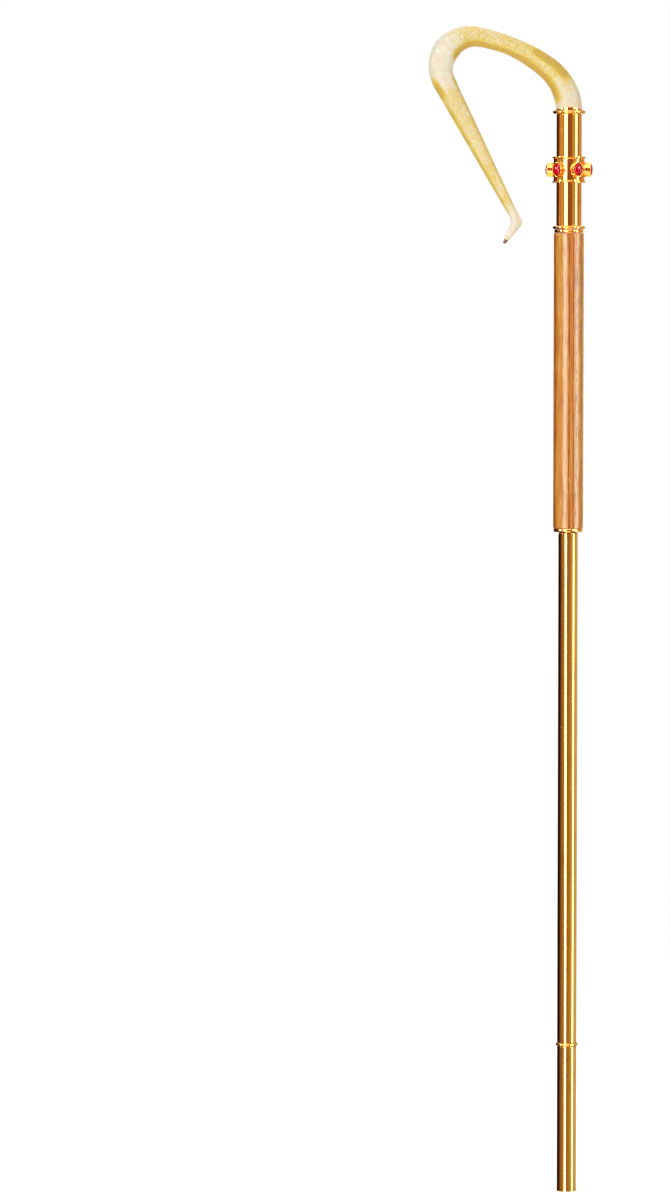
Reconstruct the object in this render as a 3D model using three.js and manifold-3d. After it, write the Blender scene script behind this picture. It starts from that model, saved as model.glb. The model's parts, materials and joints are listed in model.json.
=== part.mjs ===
// A bishop's crozier: an ivory-coloured hook on a jewelled gold collar, an oak grip and two brass
// tubes that screw together. Millimetres, +Z up the staff, origin at the centre of the foot's face.
// The hook reaches towards -X.
import * as THREE from 'three';
import { mergeVertices } from 'three/addons/utils/BufferGeometryUtils.js';
import Module from 'manifold-3d';

// ---- Driving dimensions ----
const GAP = 0.3; // play between two pieces that touch

const TUBE_RADIUS = 13.2;
const TUBE_WALL = 1.6;
const FOOT_TUBE_LENGTH = 201;
const MIDDLE_TUBE_TOP = 907.7;
const FOOT_PLUG_LENGTH = 18;

const RING_RADIUS = 15.2;
const RING_HEIGHT = 4.4;
const WASHER_HEIGHT = 1.2;

const THREAD_RADIUS = 6;
const THREAD_DEPTH = 1;
const THREAD_LEAD = 4;
const THREAD_TURNS = 6;
const SOCKET_BORE_RADIUS = THREAD_RADIUS + 0.6;
const SOCKET_DEPTH = 34;
const SOCKET_FLOOR = 6; // metal left beyond the bottom of a socket's bore
const STUD_PLUG_LENGTH = 30;

const GRIP_RADIUS = 20.5;
const GRIP_LENGTH = 402.7;
const GRIP_CHAMFER = 1;
const GRIP_COUNTERBORE_RADIUS = 12.4;
const FERRULE_RADIUS = 19.8;
const FERRULE_HEIGHT = 4.8;

const ROD_RADIUS = 4;
const ROD_BORE_RADIUS = 5;
const ROD_IN_CROOK = 24;
const NUT_ACROSS_CORNERS = 15;
const NUT_HEIGHT = 7;
const ROD_WASHER_RADIUS = 11.5;
const ROD_WASHER_HEIGHT = 1.6;

const COLLAR_RADIUS = 17.15;
const COLLAR_WALL = 1.5;
const COLLAR_LENGTH = 152;
const FLANGE_RADIUS = 22.3;
const FLANGE_HEIGHT = 4.2;
const SPIGOT_LENGTH = 6;

const BAND_BELOW = 58.8; // from the foot of the collar tube to the band's lower lip
const BAND_HEIGHT = 35;
const BAND_WAIST_RADIUS = 21;
const BAND_LIP_RADIUS = 22.9;
const BAND_LIP_THICKNESS = 1.4;

const BEZEL_COUNT = 6;
const BEZEL_TURN_DEG = -7; // turns the ring of stones about the staff
const BEZEL_HALF_HEIGHT = 9.8;
const BEZEL_NARROWING = 0.73; // width over height of the oval stones and bezels
const BEZEL_RIM_REACH = 30; // from the staff's axis
const STONE_HALF_HEIGHT = 8.7;
const STONE_REACH = 32.3; // top of the dome, from the staff's axis

const MOUTH_RADIUS = 18.9;
const MOUTH_LOW = 0.9; // its height at the sides
const MOUTH_RISE = 3.6; // and how much higher it stands at the front and back

const CROOK_ROOT_RADIUS = 17.3;
// The crook's centreline, which starts straight up: arcs and straight runs in the XZ plane, one
// after another, each with the crook's radius where it ends. A positive turn leans towards -X.
const CROOK_LEGS = [
  { arc: 60, turn: 14.5, radius: 18 }, // out of the mouth
  { arc: 80, turn: 37, radius: 15.3 }, // shoulder
  { arc: 208, turn: 17, radius: 12.4 }, // first half of the back
  { arc: 208, turn: 12, radius: 13.4 }, // second half of the back
  { arc: 43, turn: 62, radius: 18.2 }, // bend, up to its thickest
  { arc: 43, turn: 65.2, radius: 15.4 }, // bend, down to the arm
  { run: 203, radius: 6 }, // tapering arm
  { arc: 19, turn: -60, radius: 5.9 }, // heel
  { run: 17, radius: 3 }, // toe
];
const CROOK_TIP_LENGTH = 6;
const CROOK_TIP_RADIUS = 2.6;

const ROUND = 28; // sides of a large turned piece
const SMALL_ROUND = 16; // sides of a small or hidden one
const BEAD_STEPS = 5; // flats on a rounded rim

// ---- Heights of each piece's lower face, stacked from the foot ----
const ringBase = FOOT_TUBE_LENGTH + GAP;
const middleBase = ringBase + RING_HEIGHT + GAP;
const washerBase = MIDDLE_TUBE_TOP + GAP;
const lowerFerruleBase = washerBase + WASHER_HEIGHT + GAP;
const gripBase = lowerFerruleBase + FERRULE_HEIGHT + GAP;
const upperFerruleBase = gripBase + GRIP_LENGTH + GAP;
const lowerFlangeBase = upperFerruleBase + FERRULE_HEIGHT + GAP;
const collarBase = lowerFlangeBase + FLANGE_HEIGHT + GAP;
const bandBase = collarBase + BAND_BELOW;
const topFlangeBase = collarBase + COLLAR_LENGTH + GAP;
const crookBase = topFlangeBase + FLANGE_HEIGHT + GAP;
const gripSocketBase = gripBase + GAP;
const gripSocketTop = gripSocketBase + SOCKET_DEPTH + SOCKET_FLOOR;
const nutBase = gripSocketTop + 9;
const rodWasherBase = nutBase + NUT_HEIGHT + GAP;
const counterboreTop = rodWasherBase + ROD_WASHER_HEIGHT + GAP;
const rodBase = gripSocketTop + 4;

// ---- Finishes ----
const finish = (color, roughness, metalness) =>
  new THREE.MeshStandardMaterial({ color, roughness, metalness });
const gold = finish(0xd08a34, 0.15, 1);
const brass = finish(0xb0853a, 0.22, 1);
const steel = finish(0x9a9a98, 0.35, 1);
const oak = finish(0xe0a860, 0.5, 0);
const ivory = finish(0xeee0a8, 0.45, 0);
const horn = finish(0x4a2a14, 0.4, 0);
const ruby = finish(0xb80c1c, 0.08, 0);
const fibre = finish(0x3a2a20, 0.8, 0);

// ---- Joining and cutting ----
const wasm = await Module();
wasm.setup();

function toSolid(geometry) {
  const bare = geometry.clone();
  bare.deleteAttribute('normal');
  bare.deleteAttribute('uv');
  const merged = mergeVertices(bare, 1e-3);
  return new wasm.Manifold(new wasm.Mesh({
    numProp: 3,
    vertProperties: new Float32Array(merged.attributes.position.array),
    triVerts: new Uint32Array(merged.index.array),
  }));
}

function toGeometry(solid) {
  const mesh = solid.getMesh();
  const geometry = new THREE.BufferGeometry();
  geometry.setAttribute('position', new THREE.BufferAttribute(mesh.vertProperties, 3));
  geometry.setIndex(new THREE.BufferAttribute(mesh.triVerts, 1));
  geometry.computeVertexNormals();
  return geometry;
}

const cut = (geometry, tool) => toGeometry(toSolid(geometry).subtract(toSolid(tool)));
const join = (geometry, other) => toGeometry(toSolid(geometry).add(toSolid(other)));

// ---- Shapes ----
// A turned piece: its outline is a list of [radius, height], up the outside of the piece.
function turned(outline, sides = ROUND) {
  const points = outline.map(([radius, height]) => new THREE.Vector2(radius, height));
  return new THREE.LatheGeometry(points, sides).rotateX(Math.PI / 2);
}

// A ring with square edges, or a disc where the bore is 0.
function ring(radius, bore, base, height, sides = ROUND) {
  const outline = [[bore, base], [radius, base], [radius, base + height], [bore, base + height]];
  return turned(bore > 0 ? [...outline, outline[0]] : outline, sides);
}

// Points on a quarter or half circle of an outline, from one angle to another in degrees.
function arcPoints(centreRadius, centreHeight, size, from, to, steps) {
  return Array.from({ length: steps + 1 }, (_, i) => {
    const angle = THREE.MathUtils.degToRad(from + ((to - from) * i) / steps);
    return [centreRadius + size * Math.cos(angle), centreHeight + size * Math.sin(angle)];
  });
}

// A rounded flange with a spigot that centres the collar tube: spigotSide is 1 above, -1 below.
function flange(base, spigotSide) {
  const bead = FLANGE_HEIGHT / 2;
  const spigotRadius = COLLAR_RADIUS - COLLAR_WALL - GAP;
  const rim = arcPoints(FLANGE_RADIUS - bead, base + bead, bead, -90, 90, BEAD_STEPS);
  const top = base + FLANGE_HEIGHT;
  const above = [[spigotRadius, top], [spigotRadius, top + SPIGOT_LENGTH],
    [ROD_BORE_RADIUS, top + SPIGOT_LENGTH]];
  const below = [[ROD_BORE_RADIUS, base - SPIGOT_LENGTH], [spigotRadius, base - SPIGOT_LENGTH],
    [spigotRadius, base]];
  const outline = spigotSide > 0
    ? [[ROD_BORE_RADIUS, base], ...rim, ...above]
    : [...below, ...rim, [ROD_BORE_RADIUS, top]];
  return turned([...outline, outline[0]]);
}

// A blind socket with its mouth at the bottom.
function socket(radius, base) {
  const bore = SOCKET_BORE_RADIUS;
  const roof = base + SOCKET_DEPTH;
  return turned([[0, roof], [bore, roof], [bore, base], [radius, base],
    [radius, roof + SOCKET_FLOOR], [0, roof + SOCKET_FLOOR]], SMALL_ROUND);
}

// A coarse right-hand thread: a cylinder whose skin sinks in and out along a helix.
function threadedRod(base, length) {
  const ringsPerTurn = 5;
  const rings = Math.round((length / THREAD_LEAD) * ringsPerTurn);
  const rod = new THREE.CylinderGeometry(THREAD_RADIUS, THREAD_RADIUS, length, SMALL_ROUND, rings);
  rod.rotateX(Math.PI / 2).translate(0, 0, base + length / 2);
  const place = rod.attributes.position;
  for (let i = 0; i < place.count; i += 1) {
    const [x, y, z] = [place.getX(i), place.getY(i), place.getZ(i)];
    if (Math.hypot(x, y) < 1) continue; // the middle of an end face
    const turns = (z - base) / THREAD_LEAD - Math.atan2(y, x) / (2 * Math.PI);
    const depth = THREAD_DEPTH * (0.5 - 0.5 * Math.cos(2 * Math.PI * turns));
    const scale = 1 - depth / THREAD_RADIUS;
    place.setXY(i, x * scale, y * scale);
  }
  return rod;
}

// A plug fixed in the top of a tube, with a neck through the washer and a thread above it.
function stud(tubeTop, neckHeight) {
  const plugRadius = TUBE_RADIUS - TUBE_WALL - GAP;
  const neckRadius = THREAD_RADIUS - THREAD_DEPTH;
  const overlap = 1;
  const neckTop = tubeTop + neckHeight;
  const plug = turned([[0, tubeTop - STUD_PLUG_LENGTH], [plugRadius, tubeTop - STUD_PLUG_LENGTH],
    [plugRadius, tubeTop], [neckRadius, tubeTop], [neckRadius, neckTop + overlap],
    [0, neckTop + overlap]], SMALL_ROUND);
  return join(plug, threadedRod(neckTop, THREAD_LEAD * THREAD_TURNS));
}

// An arc of the crook's centreline, turning from one heading to another.
class HeadingArc extends THREE.Curve {
  constructor(start, heading, radius, turn) {
    super();
    Object.assign(this, { start, heading, radius, turn });
  }

  getPoint(t, target = new THREE.Vector3()) {
    const side = Math.sign(this.turn);
    const now = this.heading + this.turn * t;
    const across = this.radius * side;
    return target.set(
      this.start.x + across * (Math.sin(now) - Math.sin(this.heading)),
      0,
      this.start.z - across * (Math.cos(now) - Math.cos(this.heading)),
    );
  }
}

// The crook's centreline as stations: a place, a heading and a radius at each.
function crookStations() {
  let heading = Math.PI / 2;
  let place = new THREE.Vector3(0, 0, crookBase);
  let radius = CROOK_ROOT_RADIUS;
  const stations = [{ place, heading, radius }];
  const spacing = 8;
  for (const leg of CROOK_LEGS) {
    const turn = THREE.MathUtils.degToRad(leg.turn ?? 0);
    const ahead = new THREE.Vector3(Math.cos(heading), 0, Math.sin(heading));
    const curve = leg.run
      ? new THREE.LineCurve3(place, place.clone().addScaledVector(ahead, leg.run))
      : new HeadingArc(place, heading, leg.arc, turn);
    const length = leg.run ?? leg.arc * Math.abs(turn);
    const steps = Math.max(2, Math.ceil(length / (leg.run ? 2 * spacing : spacing)));
    for (let i = 1; i <= steps; i += 1) {
      stations.push({
        place: curve.getPoint(i / steps),
        heading: heading + (turn * i) / steps,
        radius: THREE.MathUtils.lerp(radius, leg.radius, i / steps),
      });
    }
    place = curve.getPoint(1);
    heading += turn;
    radius = leg.radius;
  }
  return stations;
}

// A closed cylinder bent and tapered to follow stations.
function alongStations(stations, sides) {
  const skin = new THREE.CylinderGeometry(1, 1, stations.length - 1, sides, stations.length - 1);
  const place = skin.attributes.position;
  const half = (stations.length - 1) / 2;
  for (let i = 0; i < place.count; i += 1) {
    const at = stations[Math.round(half + place.getY(i))];
    const across = at.radius * place.getX(i);
    place.setXYZ(
      i,
      at.place.x + across * Math.sin(at.heading),
      at.radius * -place.getZ(i),
      at.place.z - across * Math.cos(at.heading),
    );
  }
  return skin;
}

// ---- Pieces ----
const crozier = new THREE.Group();

function add(name, geometry, material, parent = crozier) {
  const mesh = new THREE.Mesh(geometry, material);
  mesh.name = name;
  parent.add(mesh);
  return mesh;
}

function addFootSection() {
  const bore = TUBE_RADIUS - TUBE_WALL;
  add('foot_plug', ring(bore - GAP, 0, 0, FOOT_PLUG_LENGTH, SMALL_ROUND), brass);
  add('foot_tube', ring(TUBE_RADIUS, bore, 0, FOOT_TUBE_LENGTH), brass);
  add('foot_stud', stud(FOOT_TUBE_LENGTH, RING_HEIGHT + 3 * GAP), brass);
  const bead = RING_HEIGHT / 2;
  const rim = arcPoints(RING_RADIUS - bead, ringBase + bead, bead, -90, 90, BEAD_STEPS);
  const ringBore = THREAD_RADIUS + GAP;
  const outline = [[ringBore, ringBase], ...rim, [ringBore, ringBase + RING_HEIGHT]];
  add('joint_ring', turned([...outline, outline[0]]), brass);
}

function addMiddleSection() {
  const bore = TUBE_RADIUS - TUBE_WALL;
  add('middle_socket', socket(bore - GAP, middleBase), brass);
  add('middle_tube', ring(TUBE_RADIUS, bore, middleBase, MIDDLE_TUBE_TOP - middleBase), brass);
  const neck = WASHER_HEIGHT + FERRULE_HEIGHT + 4 * GAP;
  add('middle_stud', stud(MIDDLE_TUBE_TOP, neck), brass);
  const washerBore = THREAD_RADIUS + GAP;
  add('grip_washer', ring(TUBE_RADIUS - 1, washerBore, washerBase, WASHER_HEIGHT), fibre);
}

function addGrip() {
  const ferruleBore = THREAD_RADIUS + 2 * GAP;
  const ferrule = (base, bore) => ring(FERRULE_RADIUS, bore, base, FERRULE_HEIGHT);
  add('grip_lower_ferrule', ferrule(lowerFerruleBase, ferruleBore), gold);
  add('grip_socket', socket(GRIP_COUNTERBORE_RADIUS - GAP, gripSocketBase), brass);
  const top = gripBase + GRIP_LENGTH;
  const outline = [[GRIP_COUNTERBORE_RADIUS, gripBase], [GRIP_RADIUS - GRIP_CHAMFER, gripBase],
    [GRIP_RADIUS, gripBase + GRIP_CHAMFER], [GRIP_RADIUS, top - GRIP_CHAMFER],
    [GRIP_RADIUS - GRIP_CHAMFER, top], [ROD_BORE_RADIUS, top], [ROD_BORE_RADIUS, counterboreTop],
    [GRIP_COUNTERBORE_RADIUS, counterboreTop]];
  add('oak_grip', turned([...outline, outline[0]]), oak);
  add('grip_upper_ferrule', ferrule(upperFerruleBase, ROD_BORE_RADIUS), gold);
}

function addTieRod() {
  const length = crookBase + ROD_IN_CROOK - rodBase;
  add('tie_rod', ring(ROD_RADIUS, 0, rodBase, length, SMALL_ROUND), steel);
  const corners = 6;
  const nutBore = ROD_RADIUS + GAP;
  const hexagon = new THREE.CylinderGeometry(
    NUT_ACROSS_CORNERS / 2, NUT_ACROSS_CORNERS / 2, NUT_HEIGHT, corners);
  hexagon.rotateX(Math.PI / 2).translate(0, 0, nutBase + NUT_HEIGHT / 2);
  const throughNut = ring(nutBore, 0, nutBase - 1, NUT_HEIGHT + 2, SMALL_ROUND);
  add('tie_rod_nut', cut(hexagon, throughNut), steel);
  const washer = ring(ROD_WASHER_RADIUS, nutBore, rodWasherBase, ROD_WASHER_HEIGHT, SMALL_ROUND);
  add('tie_rod_washer', washer, steel);
}

function bezelHole() {
  const depth = 10;
  const hole = new THREE.CylinderGeometry(1, 1, depth, SMALL_ROUND).rotateZ(-Math.PI / 2);
  const halfHeight = BEZEL_HALF_HEIGHT + GAP;
  const halfWidth = BEZEL_HALF_HEIGHT * BEZEL_NARROWING + GAP;
  return hole.scale(1, halfWidth, halfHeight).translate(COLLAR_RADIUS + depth / 2 - 1, 0, 0);
}

const bezelAngle = (index) =>
  THREE.MathUtils.degToRad(BEZEL_TURN_DEG + (360 / BEZEL_COUNT) * index);

// The concave band: two thin flared lips and a hollow between them, pierced for the bezels.
function jewelBand() {
  const bore = COLLAR_RADIUS + GAP;
  const half = BAND_HEIGHT / 2;
  const flare = BAND_LIP_RADIUS - BAND_WAIST_RADIUS;
  const lower = arcPoints(BAND_LIP_RADIUS, BAND_LIP_THICKNESS - half + flare, flare, 270, 180, 3);
  const upper = arcPoints(BAND_LIP_RADIUS, half - BAND_LIP_THICKNESS - flare, flare, 180, 90, 3);
  const outline = [[bore, -half], [BAND_LIP_RADIUS, -half], ...lower, ...upper,
    [BAND_LIP_RADIUS, half], [bore, half]];
  let band = turned([...outline, outline[0]]);
  for (let i = 0; i < BEZEL_COUNT; i += 1) {
    band = cut(band, bezelHole().rotateZ(bezelAngle(i)));
  }
  return band;
}

// An oval collet, turned about its own axis and then narrowed: an open cup with a rounded rim.
function bezel() {
  const back = COLLAR_RADIUS + 1.5 * GAP;
  const stoneSeat = BEZEL_RIM_REACH - 3;
  const rimRound = 0.6;
  const inner = STONE_HALF_HEIGHT + GAP;
  const ledge = 2;
  const rim = arcPoints(BEZEL_HALF_HEIGHT - rimRound, BEZEL_RIM_REACH - rimRound, rimRound, 0, 90, 2);
  const outline = [[0, back], [BEZEL_HALF_HEIGHT, back], ...rim, [inner, BEZEL_RIM_REACH],
    [inner, stoneSeat], [inner - ledge, stoneSeat], [inner - ledge, back + 2], [0, back + 2]];
  return turned(outline, SMALL_ROUND).scale(1, BEZEL_NARROWING, 1);
}

function cabochon() {
  const base = BEZEL_RIM_REACH - 3 + GAP;
  const girdle = base + 1.2;
  const radius = STONE_HALF_HEIGHT;
  const steps = 5;
  const dome = Array.from({ length: steps + 1 }, (_, i) => {
    const angle = (Math.PI / 2) * (i / steps);
    return [radius * Math.cos(angle), girdle + (STONE_REACH - girdle) * Math.sin(angle)];
  });
  dome[steps][0] = 0;
  return turned([[0, base], [radius, base], ...dome], SMALL_ROUND).scale(1, BEZEL_NARROWING, 1);
}

function addCollar() {
  add('lower_flange', flange(lowerFlangeBase, 1), gold);
  const tubeBore = COLLAR_RADIUS - COLLAR_WALL;
  add('collar_tube', ring(COLLAR_RADIUS, tubeBore, collarBase, COLLAR_LENGTH), gold);
  const knop = new THREE.Group();
  knop.position.z = bandBase + BAND_HEIGHT / 2;
  add('jewel_band', jewelBand(), gold, knop);
  for (let i = 0; i < BEZEL_COUNT; i += 1) {
    const seat = new THREE.Group();
    seat.rotation.z = bezelAngle(i);
    const outward = new THREE.Group();
    outward.rotation.y = Math.PI / 2; // the turned pieces' height now points away from the staff
    add(`bezel_${i + 1}`, bezel(), gold, outward);
    add(`cabochon_${i + 1}`, cabochon(), ruby, outward);
    seat.add(outward);
    knop.add(seat);
  }
  crozier.add(knop);
  add('top_flange', flange(topFlangeBase, -1), gold);
}

// The mouth round the crook's root stands highest at the front and back, and low at the sides.
function crookMouth() {
  const mouth = ring(MOUTH_RADIUS, CROOK_ROOT_RADIUS + 2 * GAP, crookBase, MOUTH_LOW);
  const place = mouth.attributes.position;
  for (let i = 0; i < place.count; i += 1) {
    if (place.getZ(i) > crookBase + MOUTH_LOW / 2) {
      const towardsFront = Math.abs(Math.sin(Math.atan2(place.getY(i), place.getX(i))));
      place.setZ(i, place.getZ(i) + MOUTH_RISE * towardsFront ** 2);
    }
  }
  return mouth;
}

function addCrook() {
  add('crook_mouth', crookMouth(), gold);
  const stations = crookStations();
  const body = alongStations(stations, SMALL_ROUND);
  const rodHole = ring(ROD_RADIUS + GAP, 0, crookBase - 1, ROD_IN_CROOK + 2, SMALL_ROUND);
  add('crook', cut(body, rodHole), ivory);
  const toe = stations.at(-1);
  const ahead = new THREE.Vector3(Math.cos(toe.heading), 0, Math.sin(toe.heading));
  const tip = [[GAP, toe.radius], [CROOK_TIP_LENGTH, CROOK_TIP_RADIUS]].map(([along, radius]) => ({
    place: toe.place.clone().addScaledVector(ahead, along), heading: toe.heading, radius,
  }));
  add('crook_tip', alongStations(tip, SMALL_ROUND), horn);
}

addFootSection();
addMiddleSection();
addGrip();
addTieRod();
addCollar();
addCrook();

export default crozier;
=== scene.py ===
# %% [markdown]
# # A bishop's crozier, made in Blender
#
# The staff is an ivory-coloured hook on a gold collar set with six red stones, an oak grip, and two
# brass tubes that screw together below it. Its sizes come from a CAD model, which is loaded first and
# never changed. Each piece that shows is then made again, finer, around its CAD node, and rides on
# the same body, so that it moves when a screw joint is undone.

# %% Load the frame
import json
import math

import bpy
from mathutils import Matrix, Vector, noise


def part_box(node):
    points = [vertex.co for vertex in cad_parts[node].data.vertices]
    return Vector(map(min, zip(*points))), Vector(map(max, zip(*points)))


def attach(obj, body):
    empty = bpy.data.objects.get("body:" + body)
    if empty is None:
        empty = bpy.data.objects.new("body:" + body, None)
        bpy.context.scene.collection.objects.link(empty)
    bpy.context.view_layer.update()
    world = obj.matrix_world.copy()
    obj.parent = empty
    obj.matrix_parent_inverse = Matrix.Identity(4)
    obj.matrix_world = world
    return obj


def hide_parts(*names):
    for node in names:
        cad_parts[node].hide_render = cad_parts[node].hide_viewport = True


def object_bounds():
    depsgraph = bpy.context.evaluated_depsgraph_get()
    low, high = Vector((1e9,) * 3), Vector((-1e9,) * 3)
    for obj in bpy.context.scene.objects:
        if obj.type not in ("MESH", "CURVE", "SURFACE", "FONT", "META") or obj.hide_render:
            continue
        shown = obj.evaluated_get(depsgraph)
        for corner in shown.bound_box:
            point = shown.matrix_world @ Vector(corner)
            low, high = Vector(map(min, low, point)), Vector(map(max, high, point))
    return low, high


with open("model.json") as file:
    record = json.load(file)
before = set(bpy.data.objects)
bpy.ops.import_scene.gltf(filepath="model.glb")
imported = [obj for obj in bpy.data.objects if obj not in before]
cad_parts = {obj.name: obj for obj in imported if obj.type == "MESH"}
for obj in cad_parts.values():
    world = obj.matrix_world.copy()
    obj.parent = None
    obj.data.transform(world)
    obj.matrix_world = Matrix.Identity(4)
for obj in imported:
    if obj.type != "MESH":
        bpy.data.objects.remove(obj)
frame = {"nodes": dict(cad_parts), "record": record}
cad_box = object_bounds()

# %% [markdown]
# ## The camera
#
# A staff is tall and thin, so it is seen from far off through a long lens, which keeps its sides
# parallel. The camera stands a little below the hook and looks down slightly. It is aimed to the
# left of the staff, because the hook reaches that way and needs the room.

# %% Camera
MM = 0.001
STAFF_TOP = cad_box[1][2]
CAMERA_AWAY = 7.5
CAMERA_HEIGHT = 1.30
AIM = Vector((-0.319, 0, 0.5103 * STAFF_TOP))
LENS_MM = 164.6

camera_data = bpy.data.cameras.new("camera")
camera_data.lens = LENS_MM
camera_data.sensor_width = 36
camera_data.clip_end = 60
camera = bpy.data.objects.new("camera", camera_data)
camera.location = (AIM.x, -CAMERA_AWAY, CAMERA_HEIGHT)
camera.rotation_euler = (AIM - camera.location).to_track_quat("-Z", "Y").to_euler()
bpy.context.scene.collection.objects.link(camera)
bpy.context.scene.camera = camera
print("camera looks down by", round(math.degrees(math.pi / 2 - camera.rotation_euler.x), 2), "degrees")

# %% [markdown]
# ## Shader arithmetic
#
# A procedural finish is mostly arithmetic on noise. Wiring each sum by hand hides the idea, so a
# small class wraps a socket and lets Python's own operators add the Math nodes. Every other node
# comes from one method, which sets the node's settings first and then its sockets.

# %% Wire: a value on its way through a shader
class Wire:
    """A socket whose sums, differences, products and powers are Math nodes."""

    def __init__(self, socket):
        self.socket = socket
        self.tree = socket.id_data

    @staticmethod
    def node(tree, kind, settings=None, sockets=None, out=0):
        made = tree.nodes.new(kind)
        for name, value in (settings or {}).items():
            if name == "stops":
                Wire.set_stops(made.color_ramp, value)
            else:
                setattr(made, name, value)
        for key, value in (sockets or {}).items():
            if isinstance(value, Wire):
                tree.links.new(value.socket, made.inputs[key])
            else:
                made.inputs[key].default_value = value
        return Wire(made.outputs[out])

    @staticmethod
    def set_stops(ramp, stops):
        while len(ramp.elements) < len(stops):
            ramp.elements.new(1)
        for element, (place, colour) in zip(ramp.elements, stops):
            element.position = place
            element.color = (*colour, 1)

    def maths(self, operation, first, second):
        return Wire.node(self.tree, "ShaderNodeMath", {"operation": operation}, {0: first, 1: second})

    def __add__(self, other):
        return self.maths("ADD", self, other)

    def __radd__(self, other):
        return self.maths("ADD", other, self)

    def __sub__(self, other):
        return self.maths("SUBTRACT", self, other)

    def __rsub__(self, other):
        return self.maths("SUBTRACT", other, self)

    def __mul__(self, other):
        return self.maths("MULTIPLY", self, other)

    def __rmul__(self, other):
        return self.maths("MULTIPLY", other, self)

    def __pow__(self, other):
        return self.maths("POWER", self, other)


# %% A few words for shaders
def srgb(red, green, blue):
    """A colour as a paint chart gives it, 0 to 255, turned into light."""
    def light(value):
        share = value / 255
        return share / 12.92 if share <= 0.04045 else ((share + 0.055) / 1.055) ** 2.4
    return (light(red), light(green), light(blue))


def between(value, low, high):
    """0 below low, 1 above high, and smooth from one to the other."""
    settings = {"interpolation_type": "SMOOTHSTEP"}
    sockets = {"Value": value, "From Min": low, "From Max": high}
    return Wire.node(value.tree, "ShaderNodeMapRange", settings, sockets)


def mixed(factor, first, second):
    """One colour turning into another."""
    ends = [end if isinstance(end, Wire) else (*end, 1) for end in (first, second)]
    return Wire.node(factor.tree, "ShaderNodeMix", {"data_type": "RGBA"},
                     {0: factor, 6: ends[0], 7: ends[1]}, out=2)


def own_place(tree):
    """Where a point is on the piece, in metres."""
    return Wire.node(tree, "ShaderNodeTexCoord", out=3)


def part_of(vector, axis):
    """One of a vector's three numbers."""
    return Wire.node(vector.tree, "ShaderNodeSeparateXYZ", sockets={0: vector}, out="xyz".index(axis))


def cloud(place, stretch, detail=3, roughness=0.5, distortion=0, shift=0):
    """Noise from 0 to 1, where stretch gives lumps per metre along X, Y and Z."""
    vector = Wire.node(place.tree, "ShaderNodeVectorMath", {"operation": "MULTIPLY_ADD"},
                       {0: place, 1: stretch, 2: (shift, shift, shift)})
    sockets = {"Vector": vector, "Scale": 1, "Detail": detail,
               "Roughness": roughness, "Distortion": distortion}
    return Wire.node(place.tree, "ShaderNodeTexNoise", sockets=sockets)


def size_of(value):
    """A value without its sign."""
    return Wire.node(value.tree, "ShaderNodeMath", {"operation": "ABSOLUTE"}, {0: value})


def bumped(height, strength, distance):
    """A surface tilted by a height, for what is too fine to model."""
    sockets = {"Height": height, "Strength": strength, "Distance": distance}
    return Wire.node(height.tree, "ShaderNodeBump", sockets=sockets)


def new_finish(name, sockets):
    """A material with one Principled shader, and the values that are the same all over it."""
    material = bpy.data.materials.new(name)
    material.use_nodes = True
    shader = material.node_tree.nodes["Principled BSDF"]
    for socket, value in sockets.items():
        shader.inputs[socket].default_value = value
    return material, material.node_tree, shader


def feed(shader, socket, wire):
    shader.id_data.links.new(wire.socket, shader.inputs[socket])


# %% [markdown]
# ## The studio
#
# Polished metal shows its room and nothing else, so the room matters more than the lamps. Dark flags
# and two tall white strip boxes stand round the staff, a long box hangs over it from front to back,
# and two small lamp heads put a spark on the collar. The world does that: glossy rays see warm and
# dark bands that run up and down between bright strips, with a bright floor under the long box.
# Other rays see soft light from overhead. The floor that is modelled doesn't show in the metal.

# %% The room that glossy surfaces see
# Bearings round the staff in degrees, 0 towards the camera and positive to its right, each with the
# light that the walls and flags there send. The collar sees the upper walls, the tubes the lower.
BLACK_FLAG = (0.012, 0.004, 0.003)
BROWN_FLAG = (0.16, 0.055, 0.04)
RED_FLAG = (0.60, 0.16, 0.08)
RED_BROWN = (0.31, 0.145, 0.10)
TAN_WALL = (0.55, 0.42, 0.19)
SAND_WALL = (0.68, 0.58, 0.28)
ROOM_WALLS = [
    (-180, TAN_WALL), (-168, BLACK_FLAG), (-134, BLACK_FLAG), (-127, BROWN_FLAG), (-98, BROWN_FLAG),
    (-86, TAN_WALL), (-62, SAND_WALL), (-53, RED_FLAG), (-18, RED_FLAG), (-8, RED_BROWN),
    (20, RED_BROWN), (30, TAN_WALL), (46, SAND_WALL), (54, RED_FLAG), (78, RED_FLAG),
    (86, TAN_WALL), (94, RED_BROWN), (104, SAND_WALL), (124, TAN_WALL), (138, SAND_WALL),
    (160, TAN_WALL), (179, TAN_WALL),
]
LOWER_WALLS = [
    (-180, TAN_WALL), (-170, BLACK_FLAG), (-111, BLACK_FLAG), (-97, BROWN_FLAG), (-84, RED_BROWN),
    (-64, (0.41, 0.27, 0.14)), (-46, (0.46, 0.31, 0.15)), (-2, (0.43, 0.21, 0.11)),
    (16, (0.48, 0.28, 0.13)), (30, (0.53, 0.37, 0.14)), (44, (0.67, 0.54, 0.24)), (56, SAND_WALL),
    (90, (0.72, 0.64, 0.38)), (130, (0.70, 0.62, 0.45)), (179, TAN_WALL),
]
# Below, a height or a drop is how far up or down a ray points, where 1 is straight up or straight
# down, and a pair of numbers is where a change starts and where it is complete.
LOWER_WALLS_DROP = (0.025, 0.06)
LEAN_DEGREES = 9
LEAN_DROP = (-0.01, 0.18)
LEAN_ENDS_AT = (-15, 40)

# A strip box's left and right edges: each one's bearing, and how far it is moved for the tubes.
LEFT_STRIP = ((-46, 5), (-17, -3))
RIGHT_STRIP = ((58, 3), (77, 2))
STRIP_LIGHT = (8, 8, 8.6)
STRIP_EDGE = 3  # degrees
STRIP_END = (0.42, 0.56)

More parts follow.
